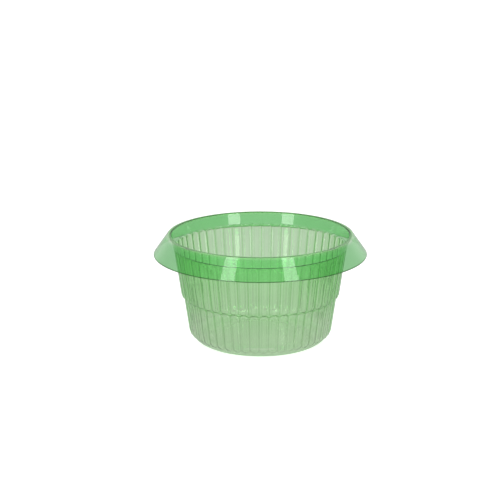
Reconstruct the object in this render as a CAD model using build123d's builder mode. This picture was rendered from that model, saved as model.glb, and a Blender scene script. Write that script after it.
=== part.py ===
"""A florist bucket: a clear thin-walled bowl with a fluted wall, and a flared collar seated on its rim."""

import os
from math import radians, tan

from build123d import *

os.makedirs("parts", exist_ok=True)

# Driving dimensions, in millimetres and degrees. Z is up, the foot stands on Z = 0 and the axis is Z.
overall_height = 112.0  # foot to the top of the collar
bowl_wall = 0.8
collar_wall = 0.8

# The bowl's outside
base_radius = 73.2  # the lower wall's slope carried down to the foot's plane
corner_radius = 13.0  # between the foot and the wall
wall_lean = 8.0  # the wall opens upwards by this angle
waist_height = 45.6  # the lower wall ends here
waist_rise = 2.6  # height of the sloping shoulder at the waist
waist_step = 2.3  # the upper wall stands out from the lower wall's slope by this
band_height = 98.6  # the flutes end here, and the smooth band starts above them
band_rise = 0.8
band_step = 0.6  # the band stands out from the fluted wall by this
band_lean = 13.0  # the band opens upwards by this angle
shoulder_round = 1.2  # rounding of the waist's two edges
ledge_round = 0.6  # rounding of the band's two edges

# The raised middle of the foot
recess_inset = 26.2  # the recess's edge stands in from the foot of the wall's slope by this
recess_depth = 1.8
recess_slope = 2.4  # the recess's edge spreads over this
recess_round = 1.0

# The flutes: upright grooves, each as if pressed in by a round rod lying along the wall
flute_count = 50
flute_radius = 2.6  # the rod's radius
flute_depth = 1.0
flute_start = 90.0  # one groove faces -Y, and one faces +Y
flute_margin = 2.6  # the centre of a groove's round upper end is this far below the waist or the band
upper_flute_foot_rise = 1.4  # the centre of an upper groove's round lower end is this far above the waist
lower_flute_foot = 4.0

# The rim flange, and the collar that rests on it
flange_width = 1.4  # it stands out from the band's outside by this
flange_round = 0.3
ring_setback = 0.4  # the collar's inner edge stands back from the bowl's inside by this
seat_clearance = 0.7  # between the flange's edge and the start of the collar's bend
collar_bend = 1.6  # outer radius of the bend between the ring and the skirt
skirt_flare = 36.0  # the skirt leans outwards from the vertical by this angle
skirt_drop = 20.5  # the collar's top to the skirt's lower edge

# Worked out from the above
lean = tan(radians(wall_lean))
rim_height = overall_height - collar_wall
recess_radius = base_radius - recess_inset
open_top = rim_height + 2 * bowl_wall  # the hollow runs out past the rim
rod_reach = flute_radius - flute_depth  # the rod's axis lies outside the wall by this


def lower_radius(height):
    """Radius of the lower wall's outside at a height."""
    return base_radius + height * lean


def upper_radius(height):
    """Radius of the upper fluted wall's outside at a height."""
    return lower_radius(height) + waist_step


def band_radius(height):
    """Radius of the smooth band's outside at a height."""
    band_foot = band_height + band_rise
    return upper_radius(band_foot) + band_step + (height - band_foot) * tan(radians(band_lean))


def bowl_outline():
    """Draws the bowl's outside from the axis to the rim, in the XZ plane."""
    waist_top = waist_height + waist_rise
    band_foot = band_height + band_rise
    return FilletPolyline(
        (0, recess_depth),
        (recess_radius, recess_depth),
        (recess_radius + recess_slope, 0),
        (base_radius, 0),
        (lower_radius(waist_height), waist_height),
        (upper_radius(waist_top), waist_top),
        (upper_radius(band_height), band_height),
        (band_radius(band_foot), band_foot),
        (band_radius(rim_height), rim_height),
        radius=[
            recess_round,
            recess_round,
            corner_radius,
            shoulder_round,
            shoulder_round,
            ledge_round,
            ledge_round,
        ],
    )


def groove_rod(rod_radius, wall_at, foot, head):
    """A round-ended rod lying along the leaning wall at +X, its axis just outside the wall."""
    start = Vector(wall_at(foot) + rod_reach, 0, foot)
    end = Vector(wall_at(head) + rod_reach, 0, head)
    along = Plane(origin=start, z_dir=end - start)
    with BuildPart(along) as rod:
        Cylinder(rod_radius, (end - start).length, align=(Align.CENTER, Align.CENTER, Align.MIN))
        with Locations((0, 0, 0), (0, 0, (end - start).length)):
            Sphere(rod_radius)
    return rod.part


def groove_rods(grow):
    """The upper and the lower groove's rods, with their radius grown by a thickness."""
    rod_radius = flute_radius + grow
    upper_foot = waist_height + upper_flute_foot_rise
    upper_rod = groove_rod(rod_radius, upper_radius, upper_foot, band_height - flute_margin)
    lower_rod = groove_rod(rod_radius, lower_radius, lower_flute_foot, waist_height - flute_margin)
    return [upper_rod, lower_rod]


# The collar's section follows the bowl's rim.
flange_radius = band_radius(rim_height) + flange_width
collar_inner_radius = band_radius(rim_height) - bowl_wall + ring_setback
collar_turn = radians(90 - skirt_flare)
collar_shoulder_radius = flange_radius + seat_clearance + collar_bend * tan(collar_turn / 2)
skirt_edge_radius = collar_shoulder_radius + skirt_drop * tan(radians(skirt_flare))

hollow_rods = groove_rods(bowl_wall)
outer_rods = groove_rods(0)

# The bowl's hollow: everything inside the wall. Its flutes are the outer ones grown by the wall, so the
# wall keeps its thickness round every groove.
with BuildPart() as hollow:
    with BuildSketch(Plane.XZ):
        with BuildLine():
            outline = bowl_outline()
            Polyline(outline @ 1, (band_radius(rim_height), open_top), (0, open_top), (0, recess_depth))
        make_face()
        mirror(about=Plane.YZ)
        offset(amount=-bowl_wall, mode=Mode.REPLACE)
        split(bisect_by=Plane.YZ, keep=Keep.TOP)
    revolve(axis=Axis.Z)
    with PolarLocations(0, flute_count, start_angle=flute_start):
        add(hollow_rods, mode=Mode.SUBTRACT)

with BuildPart() as bowl:
    with BuildSketch(Plane.XZ):
        with BuildLine():
            outline = bowl_outline()
            Polyline(outline @ 1, (0, rim_height), (0, recess_depth))
        make_face()
    revolve(axis=Axis.Z)
    with PolarLocations(0, flute_count, start_angle=flute_start):
        add(outer_rods, mode=Mode.SUBTRACT)
    with BuildSketch(Plane.XY.offset(rim_height)):
        Circle(flange_radius)
    extrude(amount=-bowl_wall)
    flange_rim = bowl.edges().filter_by(GeomType.CIRCLE).sort_by(SortBy.RADIUS)[-2:]
    fillet(flange_rim, flange_round)
    add(hollow.part, mode=Mode.SUBTRACT)
bowl.part.label = "bowl"
export_step(bowl.part, "parts/bowl.step")

with BuildPart() as collar:
    with BuildSketch(Plane.XZ):
        with BuildLine():
            FilletPolyline(
                (collar_inner_radius, overall_height),
                (collar_shoulder_radius, overall_height),
                (skirt_edge_radius, overall_height - skirt_drop),
                radius=collar_bend,
            )
            offset(amount=collar_wall, side=Side.RIGHT)
        make_face()
    revolve(axis=Axis.Z)
collar.part.label = "collar"
export_step(collar.part, "parts/collar.step")
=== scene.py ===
# %% [markdown]
# # A florist bucket of clear green plastic
# The real thing is a low round bowl, thin-walled and see-through, with fifty shallow upright grooves in
# its wall, and a flared collar on its rim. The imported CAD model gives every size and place, so it is
# loaded first and nothing in it is moved. The two visible pieces are then worked out with numpy as
# finer surfaces over the same shape, and they stand for the two CAD nodes.

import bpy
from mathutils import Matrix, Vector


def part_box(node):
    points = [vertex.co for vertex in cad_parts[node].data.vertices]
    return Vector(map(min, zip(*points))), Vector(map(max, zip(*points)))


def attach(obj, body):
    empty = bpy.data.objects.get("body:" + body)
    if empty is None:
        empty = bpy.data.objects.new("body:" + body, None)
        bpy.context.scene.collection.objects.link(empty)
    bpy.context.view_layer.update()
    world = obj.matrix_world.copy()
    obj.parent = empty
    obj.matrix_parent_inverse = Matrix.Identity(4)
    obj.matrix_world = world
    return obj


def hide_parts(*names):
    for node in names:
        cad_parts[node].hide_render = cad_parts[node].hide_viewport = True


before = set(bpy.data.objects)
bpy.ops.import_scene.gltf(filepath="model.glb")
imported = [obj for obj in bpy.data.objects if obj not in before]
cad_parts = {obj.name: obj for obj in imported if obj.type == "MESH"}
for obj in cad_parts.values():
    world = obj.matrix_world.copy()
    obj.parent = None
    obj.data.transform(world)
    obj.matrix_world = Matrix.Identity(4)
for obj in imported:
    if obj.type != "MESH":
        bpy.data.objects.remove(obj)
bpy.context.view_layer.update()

# %% [markdown]
# ## Sizes
# The heights, radii and slopes are those of the CAD source, in millimetres, since a moulder's drawing
# would give them so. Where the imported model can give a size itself, it is measured there: the height
# and the radii of the rim and of the collar come from the nodes' boxes. Only the edge of the foot's
# raised middle is drawn softer here than in the CAD, because a sharper one shows through the wall as a
# ring.

# %% Sizes of the bowl and the collar
from math import pi, radians, tan

import bpy
import numpy as np

MM = 0.001
bowl_low, bowl_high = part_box("bowl")
collar_low, collar_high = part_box("collar")
overall_height = collar_high.z / MM
rim_height = bowl_high.z / MM
flange_radius = bowl_high.x / MM
skirt_radius = collar_high.x / MM

wall = 0.8
lean = tan(radians(8.0))
base_radius = 73.2
corner_radius = 13.0
recess_radius = 43.0
recess_depth = 1.8
recess_slope = 9.0
waist_height = 45.6
waist_rise = 2.6
waist_step = 2.3
band_height = 98.6
band_rise = 0.8
band_step = 0.6
band_lean = tan(radians(13.0))
edge_round = 0.3
print(f"height {overall_height:.1f}, rim at {rim_height:.1f}, flange radius {flange_radius:.1f}")

# %% [markdown]
# ## A rounded outline
# Both pieces are turned shapes, so each starts as an outline of height against radius. It is drawn as a
# few corners joined by straight runs, and each corner is rounded by an arc that is tangent to both
# runs. Drawing the arcs directly keeps the number of points where the curve needs them. A bevel
# modifier would also round the corners, but it could not then carry the grooves.

# %% Corners to a rounded outline
def rounded_line(corners, rounds, run_steps, arc_steps):
    """Points of a line through corners, each inner corner rounded by a tangent arc.

    At a corner that turns by an angle t, an arc of radius r starts r tan(t / 2) before the corner.
    Its points are the corner moved along the bisector by r / cos(t / 2), and back by r at each turn.
    A run's points are spaced as half a cosine wave, closer towards its ends.
    """
    corners = np.array(corners, float)
    ways = np.diff(corners, axis=0)
    ways /= np.linalg.norm(ways, axis=1)[:, None]
    pieces = []
    start = corners[0]
    for i, radius in enumerate(rounds):
        corner, before, after = corners[i + 1], ways[i], ways[i + 1]
        turn = np.arccos(np.clip(before @ after, -1, 1))
        cut = radius * np.tan(turn / 2)
        end = corner - before * cut
        pieces.append(run_points(start, end, run_steps[i]))
        side = np.sign(before[0] * after[1] - before[1] * after[0])
        centre = end + side * radius * np.array([-before[1], before[0]])
        spoke = end - centre
        swing = side * turn * np.linspace(0, 1, arc_steps[i] + 1)[:-1, None]
        across = np.array([-spoke[1], spoke[0]])
        pieces.append(centre + spoke * np.cos(swing) + across * np.sin(swing))
        start = corner + after * cut
    pieces.append(run_points(start, corners[-1], run_steps[-1]))
    pieces.append(corners[-1:])
    return np.concatenate(pieces)


def run_points(start, end, steps):
    """Points from start up to but not including end, at shares (1 - cos(pi k / steps)) / 2 of the way."""
    share = (1 - np.cos(pi * np.arange(steps) / steps)) / 2
    return start + (end - start) * share[:, None]


# %% [markdown]
# ## The bowl's outline
# From the middle of the foot it runs out under the raised recess, down to the ring it stands on, round
# the corner, up the lower wall, over the waist's small shoulder, up the upper wall and over the ledge
# to the smooth band. The rim comes later, because the flange is only on the outside.

# %% Outline of the bowl's wall
def lower_radius(height):
    """Radius of the lower wall: the foot's radius plus the height times the slope."""
    return base_radius + height * lean


def upper_radius(height):
    """Radius of the fluted upper wall: the lower wall's slope moved out by the waist's step."""
    return lower_radius(height) + waist_step


def band_radius(height):
    """Radius of the smooth band: the ledge's radius plus the height above it times the band's slope."""
    return upper_radius(band_foot) + band_step + (height - band_foot) * band_lean


recess_round, waist_round, ledge_round = 30.0, 2.6, 1.0
waist_top = waist_height + waist_rise
band_foot = band_height + band_rise
flange_foot = rim_height - wall - edge_round
wall_line = rounded_line(
    [
        (0, recess_depth),
        (recess_radius, recess_depth),
        (recess_radius + recess_slope, 0),
        (base_radius, 0),
        (lower_radius(waist_height), waist_height),
        (upper_radius(waist_top), waist_top),
        (upper_radius(band_height), band_height),
        (band_radius(band_foot), band_foot),
        (band_radius(flange_foot), flange_foot),
    ],
    rounds=[recess_round, recess_round, corner_radius, waist_round, waist_round, ledge_round, ledge_round],
    run_steps=[3, 1, 3, 13, 1, 15, 1, 3],
    arc_steps=[3, 3, 9, 4, 4, 3, 3],
)
print("bowl outline", len(wall_line), "points")

# %% [markdown]
# ## The grooves
# The wall is a ring of fifty raised panels with round corners, and what lies between them is pressed in
# by a millimetre, to a soft round-bottomed groove. On the real bucket the mould has a row of long
# rounded cutters. A boolean cut would leave ragged faces, so the depth is a field instead: at each
# point it depends only on how far the point is outside the nearest panel's edge.

# %% Depth of the grooves over the wall
flute_count = 50
flute_depth = 1.0
groove_half_width = 2.35
panel_round = 2.9


def smooth_step(low, high, value):
    """0 below low and 1 above high, with 3t^2 - 2t^3 between."""
    share = np.clip((value - low) / (high - low), 0, 1)
    return share * share * (3 - 2 * share)


def outside_panel(aside, along, pitch, foot, head):
    """Distance outside a rounded panel's edge, and negative inside it.

    A rounded rectangle is a smaller rectangle grown by its corner radius, so the distance is that to
    the smaller rectangle, less the corner radius. aside is measured from the groove's middle.
    """
    half_width = pitch / 2 - groove_half_width
    from_middle = pitch / 2 - np.abs(aside)
    over_side = np.maximum(from_middle - (half_width - panel_round), 0)
    middle, half_length = (foot + head) / 2, (head - foot) / 2
    over_end = np.maximum(np.abs(along - middle) - (half_length - panel_round), 0)
    return np.hypot(over_side, over_end) - panel_round


def groove_depth(distance):
    """Half a sine-squared wave: 0 at the panel's edge, the full depth half a groove's width away."""
    return flute_depth * np.sin(pi / 2 * np.clip(distance / groove_half_width, 0, 1)) ** 2


# %% Where round the bowl the columns of points stand
pitch_angle = 2 * pi / flute_count
groove_columns = np.array([-3.6, -2.35, -1.8, -1.2, -0.6, 0.0, 0.6, 1.2, 1.8, 2.35, 3.6])
typical_radius = 82.0
column_angles = groove_columns / typical_radius
one_pitch = np.append(column_angles, pitch_angle / 2)
groove_angles = -pi / 2 + pitch_angle * np.arange(flute_count)
angles = (groove_angles[:, None] + one_pitch[None, :]).ravel()
angle_from_groove = np.tile(one_pitch, flute_count)
print("columns round the bowl", len(angles))

# %% The wall's outer skin
along_line = np.append(0, np.cumsum(np.linalg.norm(np.diff(wall_line, axis=0), axis=1)))


def along_at(height):
    """Distance along the outline where the wall is at a height, above the corner."""
    wall_part = wall_line[:, 0] > base_radius - corner_radius
    return np.interp(height, wall_line[wall_part, 1], along_line[wall_part])


panel_foot, waist_gap, ledge_gap = 7.4, 0.3, 1.0
lower_foot, lower_head = along_at(panel_foot), along_at(waist_height - waist_gap)
upper_foot, upper_head = along_at(waist_top + waist_gap), along_at(band_height - ledge_gap)
radius_grid = wall_line[:, 0][:, None]
along_grid = along_line[:, None]
aside_grid = radius_grid * angle_from_groove[None, :]
pitch_grid = radius_grid * pitch_angle
from_panel = np.minimum(
    outside_panel(aside_grid, along_grid, pitch_grid, lower_foot, lower_head),
    outside_panel(aside_grid, along_grid, pitch_grid, upper_foot, upper_head),
)

# The grooves run out towards the foot and under the ledge, and they are shallower where they cross
# the waist.
groove_start, groove_full, ledge_start = 0.4, 5.0, 0.2
fade_in = smooth_step(along_at(groove_start), along_at(groove_full), along_grid)
fade_out = 1 - smooth_step(upper_head + ledge_start, along_at(band_foot), along_grid)
waist_middle = along_at(waist_height + waist_rise / 2)
waist_inner, waist_outer, waist_shallowing = 0.6, 3.0, 0.55
at_waist = 1 - smooth_step(waist_inner, waist_outer, np.abs(along_grid - waist_middle))
depth = groove_depth(from_panel) * fade_in * fade_out * (1 - waist_shallowing * at_waist)
print("deepest groove", round(float(depth.max()), 2), "mm")


# %% [markdown]
# ## From outline to surface
# A turned surface is its outline carried round the axis. The grooves move each point inwards along the
# outline's normal. The inside skin is the outside one moved in by the wall's thickness along the
# surface's own normal, so that the wall is as thick at the bottom of a groove as on a panel, as it is
# in a real moulding. That keeps the refraction of the two skins true to each other.

# %% Turn, normals and thickness
def line_normals(line):
    """Unit normals of an outline, pointing to its right hand, from its central differences."""
    way = np.gradient(line, axis=0)
    normal = np.stack([way[:, 1], -way[:, 0]], axis=1)
    return normal / np.linalg.norm(normal, axis=1)[:, None]


def turned(radius, height, angles):
    """Points (r cos a, r sin a, z) for grids of radius and height, one column for each angle a."""
    radius = np.broadcast_to(radius, (len(radius), len(angles)))
    height = np.broadcast_to(height, radius.shape)
    return np.stack([radius * np.cos(angles), radius * np.sin(angles), height], axis=-1)


def surface_normals(grid):
    """Unit normals of a grid of points: the cross product of its two central differences."""
    along = np.gradient(grid, axis=0)
    wrapped = np.concatenate([grid[:, -1:], grid, grid[:, :1]], axis=1)
    around = (wrapped[:, 2:] - wrapped[:, :-2]) / 2
    normal = np.cross(around, along)
    length = np.linalg.norm(normal, axis=-1, keepdims=True)
    return normal / np.maximum(length, 1e-9)


out = line_normals(wall_line)
outer_radius = wall_line[:, 0][:, None] - depth * out[:, 0][:, None]
outer_height = wall_line[:, 1][:, None] - depth * out[:, 1][:, None]
outer_skin = turned(outer_radius, outer_height, angles)
skin_normals = surface_normals(outer_skin)
skin_normals[0] = (0, 0, -1)
inner_skin = outer_skin - wall * skin_normals
inner_skin[0] = (0, 0, recess_depth + wall)
print("each skin has", outer_skin.shape[0], "rows and", outer_skin.shape[1], "columns")

# %% [markdown]
# Fine deep green lines are painted into the tint along the bottom of each groove and along the panels'
# edges, as painted shade where the grooves bend darker surroundings into view, and the flanks between
# them are painted paler, as a painted lighter streak. The amount is kept as a number at each point,
# which the material reads as an attribute. A second number says how much of the upright wall a point
# belongs to: none on the foot, all on the grooved wall, and a quarter on the smooth band.

# %% Where the lines of painted shade lie
def bell(value, middle, width):
    """A smooth bump exp(-((value - middle) / width)^2)."""
    return np.exp(-(((value - middle) / width) ** 2))


line_width, edge_share, flank_share = 0.5, 0.45, 0.5
edge_at, flank_at = 0.1, 1.2  # out from the panel's edge
in_groove = bell(from_panel, groove_half_width, 1.5 * line_width)
on_edge = bell(from_panel, edge_at, line_width)
on_flank = bell(from_panel, flank_at, line_width)
# Painted shade: positive in the groove bottoms and along the panels' edges, negative (painted paler) on
# the flanks.
painted_shade = (in_groove + edge_share * on_edge - flank_share * on_flank) * fade_in * fade_out
band_share, wall_start, wall_full = 0.25, 3.0, 18.0
on_band = smooth_step(along_at(band_height), along_at(band_foot + ledge_round), along_grid)
on_wall = smooth_step(along_at(wall_start), along_at(wall_full), along_grid)
on_wall = np.broadcast_to(on_wall * (1 - (1 - band_share) * on_band), painted_shade.shape)
print("gathered from", round(float(painted_shade.min()), 2), "to", round(float(painted_shade.max()), 2))

# %% [markdown]
# ## The rim
# At its top the wall turns out into a narrow flat flange, which the collar rests on. Its outline starts
# on the outside skin, goes out and over the flange, and comes back to the inside skin. Small arcs round
# its edges, because a moulded edge is never quite sharp and it catches a thin line of light. Its top is
# left a hair below the collar: two clear skins in exactly one place would confuse the light's path.

# %% The flange's outline
air_gap, foot_round = 0.05, 0.2
inside_rim = band_radius(rim_height) - wall
flange_top = rim_height - air_gap
flange_line = rounded_line(
    [
        (band_radius(flange_foot), flange_foot),
        (band_radius(rim_height - wall), rim_height - wall),
        (flange_radius, rim_height - wall),
        (flange_radius, flange_top),
        (inside_rim, flange_top),
        (inside_rim - edge_round * band_lean, flange_top - edge_round),
    ],
    rounds=[foot_round, edge_round, edge_round, foot_round],
    run_steps=[1, 2, 1, 3, 1],
    arc_steps=[3, 3, 3, 3],
)[1:-1]
flange_skin = turned(flange_line[:, :1], flange_line[:, 1:], angles)
bowl_points = np.concatenate([outer_skin, flange_skin, inner_skin[::-1]])
flange_rows = np.ones((len(flange_line), len(angles)))
painted_shade_rows = np.concatenate([painted_shade, 0 * flange_rows, painted_shade[::-1]])
on_wall_rows = np.concatenate([on_wall, band_share * flange_rows, on_wall[::-1]])
print("bowl rows", len(bowl_points))


# %% [markdown]
# ## Making the meshes
# A grid of points becomes a mesh of four-sided faces between neighbouring rows and columns, closed
# round the ring. The bowl's first and last rows are single points on the axis, so they are joined by
# triangles. The signed volume tells whether the faces point outwards, and they are turned if not.

# %% Grid to mesh
def ring_faces(rows, columns, closed):
    """Four-sided faces of a grid that closes round the ring, and end to start when it is closed."""
    rows_from = np.arange(rows if closed else rows - 1)
    row, column = np.meshgrid(rows_from, np.arange(columns), indexing="ij")
    row, column = row.ravel(), column.ravel()
    next_row, next_column = (row + 1) % rows, (column + 1) % columns
    return np.stack(
        [
            row * columns + column,
            row * columns + next_column,
            next_row * columns + next_column,
            next_row * columns + column,
        ],
        axis=1,
    )


def add_mesh(name, points, quads, triangles=None):
    """Puts points in millimetres and faces into a new object at the origin, with faces outwards."""
    points = points * MM
    loops, starts = quads.ravel(), np.arange(len(quads)) * 4
    if triangles is not None:
        starts = np.append(starts, len(loops) + np.arange(len(triangles)) * 3)
        loops = np.append(loops, triangles.ravel())
    mesh = bpy.data.meshes.new(name)
    mesh.vertices.add(len(points))
    mesh.vertices.foreach_set("co", points.astype(np.float32).ravel())
    mesh.loops.add(len(loops))
    mesh.loops.foreach_set("vertex_index", loops.astype(np.int32))
    mesh.polygons.add(len(starts))
    mesh.polygons.foreach_set("loop_start", starts.astype(np.int32))
    mesh.update(calc_edges=True)
    mesh.validate()
    mesh.calc_loop_triangles()
    corners = np.empty(len(mesh.loop_triangles) * 3, np.int32)
    mesh.loop_triangles.foreach_get("vertices", corners)
    a, b, c = points[corners.reshape(-1, 3)].transpose(1, 0, 2)
    volume = float((a * np.cross(b, c)).sum() / 6)
    if volume < 0:
        mesh.flip_normals()
    mesh.polygons.foreach_set("use_smooth", np.ones(len(mesh.polygons), bool))
    piece = bpy.data.objects.new(name, mesh)
    bpy.context.scene.collection.objects.link(piece)
    print(name, len(mesh.loop_triangles), "triangles, volume", round(abs(volume) * 1e6, 2), "cm3")
    return piece


# %% The bowl
columns = len(angles)
middle_rows = bowl_points[1:-1]
bowl_vertices = np.concatenate([middle_rows.reshape(-1, 3), bowl_points[0, :1], bowl_points[-1, :1]])
around = np.arange(columns)
next_around = (around + 1) % columns
foot_pole, floor_pole = len(bowl_vertices) - 2, len(bowl_vertices) - 1
last_row = (len(middle_rows) - 1) * columns
pole_triangles = np.concatenate(
    [
        np.stack([np.full(columns, foot_pole), next_around, around], axis=1),
        np.stack([np.full(columns, floor_pole), last_row + around, last_row + next_around], axis=1),
    ]
)
bowl_quads = ring_faces(len(middle_rows), columns, False)
bowl_shell = add_mesh("bowl_shell", bowl_vertices, bowl_quads, pole_triangles)


def store_value(piece, name, values):
    """Keeps one number for each point of a piece's mesh, under a name that a material can read."""
    kept = piece.data.attributes.new(name, "FLOAT", "POINT")
    kept.data.foreach_set("value", np.asarray(values, np.float32))


store_value(bowl_shell, "painted_shade", np.append(painted_shade_rows[1:-1].ravel(), [0.0, 0.0]))
store_value(bowl_shell, "on_wall", np.append(on_wall_rows[1:-1].ravel(), [0.0, 0.0]))

# %% [markdown]
# ## The collar
# The collar is a flat ring that lies on the flange, a tight bend and a straight skirt leaning out. Its
# section is a strip of even thickness with rounded ends. The outline is drawn once along the strip's
# middle, and the section is that line moved to both sides, with a half circle at either end. A painted
# shade on the ring draws the rim's dark line, and the tint is painted paler over the bend.

# %% The collar's section and its mesh
skirt_flare = radians(36.0)
skirt_drop = 20.5
collar_bend = 1.6
ring_setback, seat_clearance, lip_rise = 0.4, 0.7, 0.1
half_turn = tan((pi / 2 - skirt_flare) / 2)
collar_inner = band_radius(rim_height) - wall + ring_setback
shoulder = flange_radius + seat_clearance + collar_bend * half_turn
middle_line = rounded_line(
    [
        (collar_inner + wall / 2, overall_height - wall / 2),
        (shoulder - wall / 2 * half_turn, overall_height - wall / 2),
        (skirt_radius - wall, overall_height - skirt_drop + lip_rise),
    ],
    rounds=[collar_bend - wall / 2],
    run_steps=[4, 14],
    arc_steps=[8],
)
middle_out = -line_normals(middle_line)

half_circle_steps = 6


def half_circle(centre, first):
    """Points inside a half circle, as wide as the wall, from the direction first to its opposite."""
    turn = np.linspace(0, pi, half_circle_steps + 1)[1:-1, None]
    side = np.array([first[1], -first[0]])
    return centre + wall / 2 * (first * np.cos(turn) + side * np.sin(turn))


collar_section = np.concatenate(
    [
        middle_line + wall / 2 * middle_out,
        half_circle(middle_line[-1], middle_out[-1]),
        (middle_line - wall / 2 * middle_out)[::-1],
        half_circle(middle_line[0], -middle_out[0]),
    ]
)
collar_columns = 400
collar_angles = 2 * pi * np.arange(collar_columns) / collar_columns
collar_grid = turned(collar_section[:, :1], collar_section[:, 1:], collar_angles)
collar_faces = ring_faces(len(collar_section), collar_columns, True)
collar_shell = add_mesh("collar_shell", collar_grid.reshape(-1, 3), collar_faces)


# %% Where the collar's tint is painted darker and paler
# Painted shade: a dark line round the ring near its inner edge, and a paler tint over the bend.
ring_share, ring_spread = 1.8, 1.5
bend_share, bend_spread = 0.45, 1.2
on_ring = bell(middle_line[:, 0], collar_inner, ring_spread)
on_bend = bell(middle_line[:, 0], shoulder, bend_spread)
along_strip = ring_share * on_ring - bend_share * on_bend
lip_values = np.zeros(half_circle_steps - 1)
inner_end_values = np.full(half_circle_steps - 1, along_strip[0])
section_values = np.concatenate([along_strip, lip_values, along_strip[::-1], inner_end_values])
store_value(collar_shell, "painted_shade", np.repeat(section_values, collar_columns))
least_painted_shade, most_painted_shade = float(along_strip.min()), float(along_strip.max())
print("collar gathered from", round(least_painted_shade, 2), "to", round(most_painted_shade, 2))

# %% The pieces stand for the CAD nodes
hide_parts("bowl")
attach(bowl_shell, "bowl")
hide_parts("collar")
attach(collar_shell, "collar")
for piece, node in ((bowl_shell, "bowl"), (collar_shell, "collar")):
    node_box = np.array([tuple(corner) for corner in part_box(node)]) / MM
    points = np.array([v.co for v in piece.data.vertices]) / MM
    print(piece.name, points.min(0).round(2), points.max(0).round(2), "CAD", *node_box.round(2))

# %% [markdown]
# ## Clear plastic
# The plastic is a coloured glass to a renderer: it bends light at each skin and takes out red and blue
# on the way through. Principled BSDF with full transmission tints by the root of its colour at each
# skin, so a wall's two skins together tint once. On the real bucket the smooth band is the deepest
# green and the walls below are paler, so the tint is a function of height. At the foot it is almost
# colourless, a painted lightening in place of more light under the bucket, and it greens from there up
# the lower wall. It also varies a little over the wall, because a moulded wall is not evenly thick.

# %% Helpers for node groups
def add_sockets(group, inputs, outputs):
    """Gives a node group its named inputs and outputs, each a pair of name and kind."""
    for way, sockets in (("INPUT", inputs), ("OUTPUT", outputs)):
        for name, kind in sockets:
            group.interface.new_socket(name, in_out=way, socket_type="NodeSocket" + kind)


def worked_out(nodes, link, operation, *values):
    """The output of a Math node, each of whose inputs is another node's output or a plain number."""
    node = nodes.new("ShaderNodeMath")
    node.operation = operation
    for socket, value in zip(node.inputs, values):
        if isinstance(value, bpy.types.NodeSocket):
            link(value, socket)
        else:
            socket.default_value = value
    return node.outputs["Value"]


def times(nodes, link, colour, factor):
    """A colour multiplied by a number."""
    scale = nodes.new("ShaderNodeVectorMath")
    scale.operation = "SCALE"
    link(colour, scale.inputs[0])
    link(factor, scale.inputs["Scale"])
    return scale.outputs["Vector"]


# %% Node group: a tint in three heights
tint_group = bpy.data.node_groups.new("tint_by_height", "ShaderNodeTree")
add_sockets(
    tint_group,
    [
        ("Foot Colour", "Color"),
        ("Wall Colour", "Color"),
        ("Top Colour", "Color"),
        ("Wall From", "Float"),
        ("Wall Over", "Float"),
        ("Top From", "Float"),
        ("Top Over", "Float"),
        ("Unevenness", "Float"),
        ("Painted Shade", "Float"),
        ("Painted Shade Depth", "Float"),
    ],
    [("Colour", "Color")],
)
nodes, link = tint_group.nodes, tint_group.links.new
entry = nodes.new("NodeGroupInput")
leave = nodes.new("NodeGroupOutput")
place = nodes.new("ShaderNodeTexCoord")
height = nodes.new("ShaderNodeSeparateXYZ")
link(place.outputs["Object"], height.inputs["Vector"])
colour = entry.outputs["Foot Colour"]
for part in ("Wall", "Top"):
    start = entry.outputs[part + " From"]
    step = nodes.new("ShaderNodeMapRange")
    step.interpolation_type = "SMOOTHSTEP"
    link(height.outputs["Z"], step.inputs["Value"])
    link(start, step.inputs["From Min"])
    link(worked_out(nodes, link, "ADD", start, entry.outputs[part + " Over"]), step.inputs["From Max"])
    mix = nodes.new("ShaderNodeMix")
    mix.data_type = "RGBA"
    link(step.outputs["Result"], mix.inputs["Factor"])
    link(colour, mix.inputs["A"])
    link(entry.outputs[part + " Colour"], mix.inputs["B"])
    colour = mix.outputs["Result"]

# %% The group's unevenness, and its painted shade
cloud_scale, line_shade = 18.0, 0.10
cloud = nodes.new("ShaderNodeTexNoise")
cloud.inputs["Scale"].default_value = cloud_scale
cloud.inputs["Detail"].default_value = 2.0
link(place.outputs["Object"], cloud.inputs["Vector"])
centred = worked_out(nodes, link, "SUBTRACT", cloud.outputs["Fac"], 0.5)
uneven = worked_out(nodes, link, "MULTIPLY_ADD", centred, entry.outputs["Unevenness"], 1.0)

# Painted shade: where the painted shade amount is positive the tint is raised to a higher power and
# darkened by a tenth of the amount more, and where it is negative it is made paler.
painted_shade_in, depth_in = entry.outputs["Painted Shade"], entry.outputs["Painted Shade Depth"]
power = nodes.new("ShaderNodeGamma")
link(times(nodes, link, colour, uneven), power.inputs["Color"])
link(worked_out(nodes, link, "MULTIPLY_ADD", painted_shade_in, depth_in, 1.0), power.inputs["Gamma"])
shade = worked_out(nodes, link, "MULTIPLY_ADD", painted_shade_in, -line_shade, 1.0)
shade.node.use_clamp = True
link(times(nodes, link, power.outputs["Color"], shade), leave.inputs["Colour"])
print("tint group", len(nodes), "nodes")

# %% [markdown]
# A thin moulded wall is never quite flat. A faint wave in its skin bends the reflections of the lamps a
# little, which is what makes them look like reflections in plastic and not in plate glass. The height
# comes from a node group and goes through a Bump node in each material.

# %% Node group: a faint wave
wave_group = bpy.data.node_groups.new("faint_wave", "ShaderNodeTree")
add_sockets(wave_group, [("Size", "Float")], [("Height", "Float")])
nodes, link = wave_group.nodes, wave_group.links.new
entry = nodes.new("NodeGroupInput")
place = nodes.new("ShaderNodeTexCoord")
ripple = nodes.new("ShaderNodeTexNoise")
ripple.inputs["Detail"].default_value = 1.0
leave = nodes.new("NodeGroupOutput")
link(place.outputs["Object"], ripple.inputs["Vector"])
link(entry.outputs["Size"], ripple.inputs["Scale"])
link(ripple.outputs["Fac"], leave.inputs["Height"])
print("wave group", len(nodes), "nodes")
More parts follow.
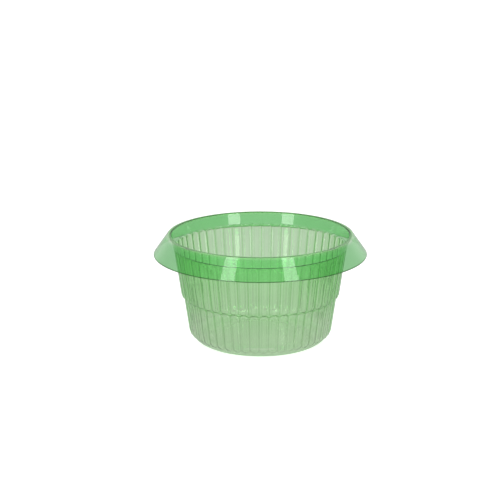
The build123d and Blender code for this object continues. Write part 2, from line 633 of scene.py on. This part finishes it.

# %% [markdown]
# For the camera the plastic is smooth glass. Lamps and scattered light would take very long to find
# their way through glass, so for those rays it is a plain tinted sheet, mixed in by Light Path. A part
# of the green is an absorption in the volume. Light that is caught inside the wall runs a long way
# before it leaves, and comes out deep green along the grooves and the edges, where the painted shade
# draws fine lines as well. Light that crosses the wall at a slant runs a little longer in it, and Layer
# Weight deepens the tint there by far more than that: a painted shade towards the outlines of the wall.

# %% The plastic itself
plastic_ior, plastic_roughness = 1.5, 0.02
slant_shade_share = 3.6
inside_tint, inside_density = (0.38, 0.905, 0.225), 250.0
sheet_tint = (0.93, 0.97, 0.93)
unevenness = 0.1
wave_size, wave_strength, wave_height = 45.0, 0.15, 0.0004


def clear_plastic(name, foot, wall_colour, top, wall_span, top_span, painted_shade_depth):
    """Coloured see-through plastic that lets lamps through, tinted by height.

    A span is the height in metres where the next tint sets in, and the height over which it does.
    """
    material = bpy.data.materials.new(name)
    material.use_nodes = True
    nodes, link = material.node_tree.nodes, material.node_tree.links.new
    shader = nodes["Principled BSDF"]
    shader.inputs["Transmission Weight"].default_value = 1.0
    shader.inputs["IOR"].default_value = plastic_ior
    shader.inputs["Roughness"].default_value = plastic_roughness
    tint = nodes.new("ShaderNodeGroup")
    tint.node_tree = tint_group
    tint.inputs["Foot Colour"].default_value = (*foot, 1)
    tint.inputs["Wall Colour"].default_value = (*wall_colour, 1)
    tint.inputs["Top Colour"].default_value = (*top, 1)
    tint.inputs["Wall From"].default_value, tint.inputs["Wall Over"].default_value = wall_span
    tint.inputs["Top From"].default_value, tint.inputs["Top Over"].default_value = top_span
    tint.inputs["Unevenness"].default_value = unevenness
    tint.inputs["Painted Shade Depth"].default_value = painted_shade_depth
    shade_lines, upright = nodes.new("ShaderNodeAttribute"), nodes.new("ShaderNodeAttribute")
    shade_lines.attribute_name, upright.attribute_name = "painted_shade", "on_wall"
    # Painted shade towards the outlines: Layer Weight's facing, squared, on the upright wall only and 3.6
    # times over, is added to the painted shade lines.
    slant_shade = nodes.new("ShaderNodeLayerWeight").outputs["Facing"]
    slant_shade = worked_out(nodes, link, "MULTIPLY", slant_shade, slant_shade)
    slant_shade = worked_out(nodes, link, "MULTIPLY", slant_shade, upright.outputs["Fac"])
    painted_shade_sum = worked_out(nodes, link, "MULTIPLY_ADD", slant_shade, slant_shade_share, shade_lines.outputs["Fac"])
    link(painted_shade_sum, tint.inputs["Painted Shade"])
    link(tint.outputs["Colour"], shader.inputs["Base Color"])
    wave = nodes.new("ShaderNodeGroup")
    wave.node_tree = wave_group
    wave.inputs["Size"].default_value = wave_size
    bump = nodes.new("ShaderNodeBump")
    bump.inputs["Strength"].default_value = wave_strength
    bump.inputs["Distance"].default_value = wave_height
    link(wave.outputs["Height"], bump.inputs["Height"])
    link(bump.outputs["Normal"], shader.inputs["Normal"])
    rays = nodes.new("ShaderNodeLightPath")
    sheet = nodes.new("ShaderNodeBsdfTransparent")
    sheet.inputs["Color"].default_value = (*sheet_tint, 1)
    surface = shader.outputs["BSDF"]
    for kind in ("Is Shadow Ray", "Is Diffuse Ray"):
        mix = nodes.new("ShaderNodeMixShader")
        link(rays.outputs[kind], mix.inputs[0])
        link(surface, mix.inputs[1])
        link(sheet.outputs["BSDF"], mix.inputs[2])
        surface = mix.outputs["Shader"]
    link(surface, nodes["Material Output"].inputs["Surface"])
    inside = nodes.new("ShaderNodeVolumeAbsorption")
    inside.inputs["Color"].default_value = (*inside_tint, 1)
    inside.inputs["Density"].default_value = inside_density
    link(inside.outputs["Volume"], nodes["Material Output"].inputs["Volume"])
    return material


bowl_plastic = clear_plastic(
    "clear_green_bowl",
    # Painted light: the foot's tint is almost colourless and a little pink, nearly cancelling the volume's
    # green, so the foot looks as pale as more light under it would make it.
    foot=(0.99, 0.945, 0.985),
    wall_colour=(0.776, 0.953, 0.745),
    top=(0.78, 0.97, 0.81),
    wall_span=(0.0, 0.062),
    top_span=((band_height - 1) * MM, 0.003),
    painted_shade_depth=1.1,
)
collar_plastic = clear_plastic(
    "clear_green_collar",
    # The collar's lowest millimetre, its rounded lip, is painted almost black green: a painted dark line
    # along the skirt's edge, standing for the shade a rounded lip of clear plastic shows.
    foot=(0.06, 0.22, 0.05),
    wall_colour=(0.480, 0.895, 0.520),
    top=(0.66, 0.92, 0.63),
    wall_span=(collar_low.z + 0.0007, 0.0003),
    top_span=(collar_high.z - 0.0012, 0.0003),
    painted_shade_depth=1.5,
)
bowl_shell.data.materials.append(bowl_plastic)
collar_shell.data.materials.append(collar_plastic)
print("materials", bowl_plastic.name, collar_plastic.name)

# %% [markdown]
# ## The studio
# See-through plastic shows what is behind it, so the studio matters as much as the material. A broad
# white table lit from below and a white surround give the clean bright ground. Where the plastic shows
# them, by way of any ray but the camera's own, both are greyer, so that the green stays deep and the
# reflections weak. Such rays also find the surround much darker at both sides, as if black cards stood
# there: the plastic's edges bend them in, and so have dark outlines against the white. Two tall soft
# boxes in front, left and right of the camera and leaning in at the top, give the pairs of pale upright
# patches on the collar and on the band.

# %% Floor
floor_reach = 40.0
floor_mesh = bpy.data.meshes.new("floor")
floor_mesh.from_pydata(
    [(x * floor_reach, y * floor_reach, 0) for x, y in ((-1, -1), (1, -1), (1, 1), (-1, 1))],
    [],
    [(0, 1, 2, 3)],
)
floor = bpy.data.objects.new("floor", floor_mesh)
bpy.context.scene.collection.objects.link(floor)
print("floor reaches", floor_reach, "m each way")


def table_shader(nodes, white, glow):
    """A matt white surface that also glows, as a table top of milky acrylic lit from below does."""
    shader = nodes.new("ShaderNodeBsdfPrincipled")
    shader.inputs["Base Color"].default_value = (white, white, white, 1)
    shader.inputs["Roughness"].default_value = 0.9
    shader.inputs["Specular IOR Level"].default_value = 0.0
    shader.inputs["Emission Color"].default_value = (1, 1, 1, 1)
    shader.inputs["Emission Strength"].default_value = glow
    return shader


# whiteness and glow, for the camera's rays and for all others
seen_table, other_table = (0.70, 0.60), (0.45, 0.245)
lit_table = bpy.data.materials.new("lit_white_table")
lit_table.use_nodes = True
nodes, link = lit_table.node_tree.nodes, lit_table.node_tree.links.new
nodes.remove(nodes["Principled BSDF"])
rays = nodes.new("ShaderNodeLightPath")
seen = nodes.new("ShaderNodeMixShader")
link(rays.outputs["Is Camera Ray"], seen.inputs[0])
link(table_shader(nodes, *other_table).outputs["BSDF"], seen.inputs[1])
link(table_shader(nodes, *seen_table).outputs["BSDF"], seen.inputs[2])
link(seen.outputs["Shader"], nodes["Material Output"].inputs["Surface"])
floor_mesh.materials.append(lit_table)

# %% White surround, darker at both sides and low down
world = bpy.data.worlds.new("studio")
bpy.context.scene.world = world
world.use_nodes = True
nodes, link = world.node_tree.nodes, world.node_tree.links.new
rays = nodes.new("ShaderNodeLightPath")
direction = nodes.new("ShaderNodeTexCoord")
split = nodes.new("ShaderNodeSeparateXYZ")
link(direction.outputs["Generated"], split.inputs["Vector"])


def eased(nodes, link, value, start, end, before, after):
    """A node output that eases from one value to another as its input goes from start to end."""
    node = nodes.new("ShaderNodeMapRange")
    node.interpolation_type = "SMOOTHSTEP"
    link(value, node.inputs["Value"])
    for name, number in (("From Min", start), ("From Max", end), ("To Min", before), ("To Max", after)):
        node.inputs[name].default_value = number
    return node.outputs["Result"]


sideways = worked_out(nodes, link, "ABSOLUTE", split.outputs["X"])
flags = eased(nodes, link, sideways, 0.55, 0.85, 0.95, 0.30)
low_down = eased(nodes, link, split.outputs["Z"], 0.35, 0.60, 0.75, 1.0)
brightness = nodes.new("ShaderNodeMix")
link(rays.outputs["Is Camera Ray"], brightness.inputs["Factor"])
link(worked_out(nodes, link, "MULTIPLY", flags, low_down), brightness.inputs["A"])
brightness.inputs["B"].default_value = 1.0
link(brightness.outputs["Result"], nodes["Background"].inputs["Strength"])
nodes["Background"].inputs["Color"].default_value = (1, 1, 1, 1)
print("surround", len(nodes), "nodes")

# %% Two tall soft boxes
from mathutils import Matrix, Vector

lamp_colour = (1.0, 0.88, 1.0)
lamp_width, lamp_radiance = 0.5, 3.5
# azimuth in degrees from straight in front, level distance from the axis, and height
lamp_foot, lamp_head = (36.0, 1.7, 0.02), (45.5, 1.55, 3.0)


def soft_box(name, low, high, width, radiance):
    """A rectangular lamp whose middle line runs from low to high, facing the bucket's axis.

    Its long side lies along that line, and it shines square to it, as nearly inwards as that allows.
    An area lamp of power P and area A has a radiance of P / (pi A).
    """
    low, high = Vector(low), Vector(high)
    upright = (high - low).normalized()
    middle = (low + high) / 2
    outward = middle - middle.project(Vector((0, 0, 1)))
    outward = (outward - outward.project(upright)).normalized()
    across = upright.cross(outward)
    lamp = bpy.data.lights.new(name, "AREA")
    lamp.shape = "RECTANGLE"
    lamp.size, lamp.size_y = width, (high - low).length
    lamp.energy = radiance * pi * lamp.size * lamp.size_y
    lamp.color = lamp_colour
    box = bpy.data.objects.new(name, lamp)
    turn = Matrix((across, upright, outward)).transposed()
    box.matrix_world = Matrix.Translation(middle) @ turn.to_4x4()
    box.visible_camera = False
    bpy.context.scene.collection.objects.link(box)
    print(name, "reaches from", [round(v, 2) for v in low], "to", [round(v, 2) for v in high])
    return box


def studio_point(side, azimuth, distance, height):
    """The point (d sin a, -d cos a, h), with the azimuth a to the right where side is 1, left for -1."""
    turn = radians(side * azimuth)
    return distance * np.sin(turn), -distance * np.cos(turn), height


for side, name in ((-1, "soft_box_left"), (1, "soft_box_right")):
    low, high = studio_point(side, *lamp_foot), studio_point(side, *lamp_head)
    soft_box(name, low, high, lamp_width, lamp_radiance)

# %% [markdown]
# ## The camera
# It looks down at the bucket by seventeen degrees from a little over a metre, through a long lens, as a
# product picture is taken. The colours are shown as they are, with no film curve, so that white stays
# white.

# %% Camera and colour
camera_data = bpy.data.cameras.new("camera")
camera = bpy.data.objects.new("camera", camera_data)
bpy.context.scene.collection.objects.link(camera)
bpy.context.scene.camera = camera
camera_distance = 1.300
camera_height = radians(16.91)
camera_aside = radians(0.9)
middle_height = 0.056
flat = camera_distance * np.cos(camera_height)
camera.location = (
    flat * np.sin(camera_aside),
    -flat * np.cos(camera_aside),
    middle_height + camera_distance * np.sin(camera_height),
)
camera.rotation_euler = (pi / 2 - camera_height, 0, camera_aside)
camera_data.lens = 89.6
camera_data.sensor_width = 36.0
camera_data.shift_x = -0.0206
camera_data.shift_y = 0.0696
bpy.context.scene.view_settings.view_transform = "Standard"
print("camera at", [round(v, 3) for v in camera.location])

# %% [markdown]
# Clear plastic needs long light paths. With few bounces, the light caught in a groove or an edge ends as
# black, and with enough of them it comes out again, tinted by the way it went.

# %% Light paths
light_paths = bpy.context.scene.cycles
light_paths.max_bounces = 28
light_paths.transmission_bounces = 28
light_paths.glossy_bounces = 20
light_paths.transparent_max_bounces = 24
print("a light path may have", light_paths.max_bounces, "bounces")
